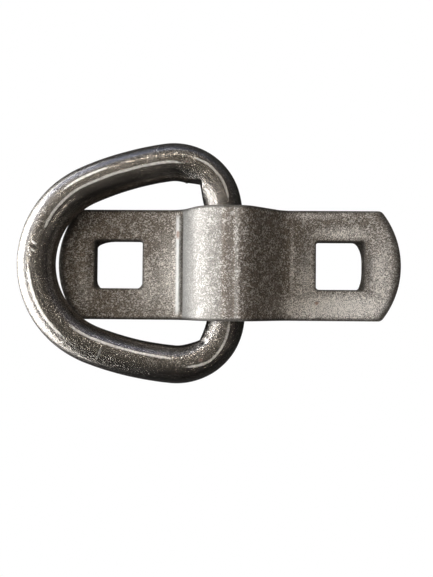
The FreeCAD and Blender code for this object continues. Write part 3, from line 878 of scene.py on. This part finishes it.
def mark_ring(mesh, sizes):
    """Adds ridges, crimps, dents and the nick to the swept ring, and the values that its steel reads."""
    count = len(mesh.vertices)
    run = read(mesh.attributes["run"].data, "value", count)[:, 0] / MM
    co, normals = (read(mesh.vertices, name, count, 3) for name in ("co", "normal"))
    total = float(run.max()) + sizes.path_step / MM
    outer = np.sign((normals[:, :2] * (co[:, :2] - np.array(INSIDE_RING))).sum(1))
    lean = -outer * np.degrees(np.arctan2(np.hypot(*normals[:, :2].T), normals[:, 2]))

    def wrapped(centre):
        return (run - centre + total / 2) % total - total / 2

    def marks(places):
        best = np.zeros(len(run))
        for at, tilt, long, wide, strength in places:
            shape = np.exp(-((wrapped(at) / long) ** 2) - ((lean - tilt) / wide) ** 2)
            best = np.where(np.abs(strength * shape) > np.abs(best), strength * shape, best)
        return best

    # Ridge crests: raised a little, and painted near white as highlight lines.
    edge = np.zeros(len(run))
    for chain in RIDGES:
        at, tilt = zip(*chain)
        inside = smooth((run - at[0]) / RIDGE_FADE) * smooth((at[-1] - run) / RIDGE_FADE)
        edge = np.maximum(edge, inside * np.exp(-(((lean - np.interp(run, at, tilt)) / RIDGE_SPREAD) ** 2)))
    nick_run, nick_lean, nick_half, depth, thrown = NICK
    across = np.clip(1 - np.abs(lean - nick_lean) / nick_half, 0, 1) ** 0.5
    off = np.abs(wrapped(nick_run + (lean - nick_lean) * 0.05))
    nick = across * (depth * np.exp(-((off / 0.8) ** 2)) - thrown * np.exp(-(((off - 1.5) / 0.45) ** 2)))
    lips = across * np.exp(-(((off - 1.3) / 0.4) ** 2))
    turn, half_bar = np.radians(lean), sizes.bar / MM / 2
    level = normals[:, :2] / np.maximum(np.hypot(*normals[:, :2].T), 1e-6)[:, None]
    for at, half, deepest in CRIMPS:
        cut = deepest * np.clip(1 - np.abs(wrapped(at)) / half, 0, 1) ** 2.2
        over = np.where(cut > 0, np.maximum(np.sin(turn) * half_bar - (half_bar - cut), 0), 0) * MM
        co[:, :2] -= level * over[:, None]
    push = RIDGE_HEIGHT * edge - marks(DENTS) - nick
    co = co + normals * (push * MM)[:, None]
    mesh.vertices.foreach_set("co", co.astype(np.float32).ravel())
    mesh.update()
    streak = np.stack([np.sin(turn) * STREAKS_ROUND, np.cos(turn) * STREAKS_ROUND, run * STREAKS_ALONG], -1)
    mesh.attributes.new("streak", "FLOAT_VECTOR", "POINT").data.foreach_set(
        "vector", streak.astype(np.float32).ravel())
    # The nick's groove gets painted shade, and its thrown-up lips a painted highlight.
    store(mesh, {
        "edge": np.maximum(edge, lips), "dull": marks(DULL), "scuff": marks(SCUFFED),
        "shade": np.maximum(marks(SHADED), across * np.exp(-((off / 0.7) ** 2))), "rust": marks(RUST_ON_RING),
        "painted_blue_reflection": marks(PAINTED_BLUE_REFLECTION),
    })


class BuildRing(bpy.types.Operator):
    """Makes the forged ring lying in the saddle, in the place of the ring's CAD node"""

    bl_idname = "lashing.ring"
    bl_label = "Build the ring"

    def execute(self, context):
        sizes = context.scene.lashing_ring
        outline = ring_outline(sizes.leg / MM)
        line = poly_curve("ring_line", [(x * MM, y * MM, 0) for x, y in outline], closed=True)
        steel = forged_steel(sizes.colour, shared_groups())
        piece = plain_mesh(line, ring_tree(), {
            "Bar": sizes.bar, "Step": sizes.path_step, "Steel": steel,
        }, "forged_ring")
        points_outwards(piece.data)
        mark_ring(piece.data, sizes)
        axis = HINGE["axis"]
        skew = math.atan2(-axis[0], axis[1])
        piece.data.transform(
            Matrix.Translation(HINGE["pos_m"]) @ Matrix.Rotation(skew, 4, "Z")
            @ Matrix.Rotation(sizes.tilt, 4, "Y") @ Matrix.Translation((sizes.inset, 0, 0)))
        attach(piece, "ring")
        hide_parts("ring")
        return {"FINISHED"}


# ---------------------------------------------------------------- stage

FLOOR_SIDE, FLOOR_LEVEL = 4, -0.0002
# Each light: name, place, the point it faces, its two sides in metres, how bright its face is, colour.
LIGHTS = (
    ("left_table", (-0.215, 0.0, 0.0005), (-0.215, 0.0, 1.0), (0.24, 0.40), 14.0, (1.0, 1.0, 0.98)),
    ("left_window", (-0.7, 0.0, 0.085), (0.0, 0.0, 0.02), (1.1, 0.11), 34.0, (0.97, 0.99, 1.0)),
    ("left_upper_window", (-0.65, 0.0, 0.25), (0.0, 0.0, 0.02), (1.0, 0.20), 9.5, (0.94, 0.97, 1.0)),
    ("back_window", (-0.20, 0.60, 0.22), (0.0, 0.0, 0.02), (0.55, 0.05), 2.5, (0.75, 0.85, 1.0)),
    ("back_table", (0.0, 0.2, 0.0005), (0.0, 0.2, 1.0), (0.5, 0.24), 0.20, (0.75, 0.87, 1.0)),
    ("back_strip", (-0.10, 0.4525, 0.5), (0.0, 0.0, 0.0), (0.60, 0.024), 24.0, (1.0, 0.95, 0.86)),
    ("front_strip", (0.31, -0.27, 0.5), (0.0, 0.0, 0.0), (0.12, 0.024), 34.0, (1.0, 0.94, 0.84)),
    ("left_strip", (-0.435, -0.07, 0.5), (0.0, 0.0, 0.0), (0.42, 0.024), 26.0, (1.0, 0.96, 0.88)),
    ("ceiling", (0.03, 0.0, 0.6), (0.0, 0.0, 0.0), (0.25, 0.12), 0.6, (1.0, 0.96, 0.9)),
)


def area_light(name, place, aim, size, glow, colour):
    """A rectangular soft light, hidden from the camera."""
    data = bpy.data.lights.new(name, "AREA")
    data.shape = "RECTANGLE"
    data.size, data.size_y = size
    data.energy = glow * math.pi * size[0] * size[1]
    data.color = colour
    lamp = add_object(name, data)
    lamp.location = place
    lamp.rotation_euler = (Vector(aim) - Vector(place)).to_track_quat("-Z", "Y").to_euler()
    lamp.visible_camera = False


def plain_to_camera(tree, unseen, seen, output):
    """Ends a tree with one shader that the camera sees and one that everything else meets."""
    path = tree.nodes.new("ShaderNodeLightPath")
    both = add_node(tree, "ShaderNodeMixShader", {
        0: path.outputs["Is Camera Ray"], 1: unseen.outputs[0], 2: seen.outputs[0]})
    tree.links.new(both.outputs[0], tree.nodes.new(output).inputs[0])


def studio_world():
    """A white room to the camera only: the metal meets a dim one, darkest on the right and in front."""
    world = bpy.data.worlds.new("studio")
    world.use_nodes = True
    tree = world.node_tree
    tree.nodes.clear()
    way = tree.nodes.new("ShaderNodeTexCoord").outputs["Generated"]
    lean = add_node(tree, "ShaderNodeVectorMath", {0: way, 1: (-0.40, 0.72, 0.25)}, operation="DOT_PRODUCT")
    share = ranged(tree, lean.outputs["Value"], -0.35, 0.75)
    height = add_node(tree, "ShaderNodeSeparateXYZ", {0: way}).outputs[2]
    upper = mixed(tree, ranged(tree, height, 0.05, 0.45), (0.22, 0.26, 0.34), (0.46, 0.43, 0.39))
    glow = mixed(tree, share, (0.035, 0.033, 0.032), upper)
    room = add_node(tree, "ShaderNodeBackground", {"Color": glow, "Strength": 1.0})
    plain = add_node(tree, "ShaderNodeBackground", {"Color": (1, 1, 1, 1), "Strength": 1.0})
    plain_to_camera(tree, room, plain, "ShaderNodeOutputWorld")
    return world


def floor_material(colour):
    """A sheet that is pale to the camera only: all else meets it dark, and it takes no shadow."""
    material, tree, _ = new_material("pale_floor")
    tree.nodes.clear()
    lit = add_node(tree, "ShaderNodeEmission", {"Color": (*colour, 1), "Strength": 1.0})
    dull = add_node(tree, "ShaderNodeBsdfDiffuse", {"Color": (0.10, 0.10, 0.10, 1)})
    plain_to_camera(tree, dull, lit, "ShaderNodeOutputMaterial")
    return material


class SetStage(bpy.types.Operator):
    """Lays the floor, hangs the lights and sets the camera"""

    bl_idname = "lashing.stage"
    bl_label = "Set the stage"

    def execute(self, context):
        sizes = context.scene.lashing_stage
        scene = context.scene
        scene.view_settings.view_transform = "Standard"
        bpy.ops.mesh.primitive_plane_add(size=FLOOR_SIDE, location=(0, 0, FLOOR_LEVEL))
        floor = context.object
        floor.name = "floor"
        floor.data.materials.append(floor_material(sizes.floor))
        scene.world = studio_world()
        for light in LIGHTS:
            area_light(*light)
        data = bpy.data.cameras.new("camera")
        data.lens, data.sensor_width, data.sensor_fit = sizes.lens, 36, "AUTO"
        data.clip_start, data.clip_end = 0.01, 10
        camera = add_object("camera", data)
        rx, ry, rz = sizes.camera_turn
        turn = Matrix.Rotation(rz, 3, "Z") @ Matrix.Rotation(ry, 3, "Y") @ Matrix.Rotation(rx, 3, "X")
        camera.matrix_world = Matrix.Translation(sizes.camera_place) @ turn.transposed().to_4x4()
        scene.camera = camera
        return {"FINISHED"}


class LashingPanel(bpy.types.Panel):
    """Sizes, colours and build buttons for the lashing ring"""

    bl_idname = "VIEW3D_PT_lashing_ring"
    bl_label = "Lashing ring"
    bl_space_type = "VIEW_3D"
    bl_region_type = "UI"
    bl_category = "Lashing Ring"

    def draw(self, context):
        for group, operator in (
            ("lashing_bracket", BuildBracket), ("lashing_ring", BuildRing), ("lashing_stage", SetStage),
        ):
            box = self.layout.box()
            values = getattr(context.scene, group)
            for name in values.bl_rna.properties.keys():
                if name not in ("rna_type", "name"):
                    box.prop(values, name)
            box.operator(operator.bl_idname)


CLASSES = (BracketSizes, RingSizes, StageSizes, BuildBracket, BuildRing, SetStage, LashingPanel)


def register():
    for one in CLASSES:
        bpy.utils.register_class(one)
    bpy.types.Scene.lashing_bracket = PointerProperty(type=BracketSizes)
    bpy.types.Scene.lashing_ring = PointerProperty(type=RingSizes)
    bpy.types.Scene.lashing_stage = PointerProperty(type=StageSizes)


def unregister():
    for name in ("lashing_bracket", "lashing_ring", "lashing_stage"):
        delattr(bpy.types.Scene, name)
    for one in reversed(CLASSES):
        bpy.utils.unregister_class(one)


def main():
    register()
    bpy.ops.lashing.bracket()
    bpy.ops.lashing.ring()
    bpy.ops.lashing.stage()


if __name__ == "__main__":
    main()
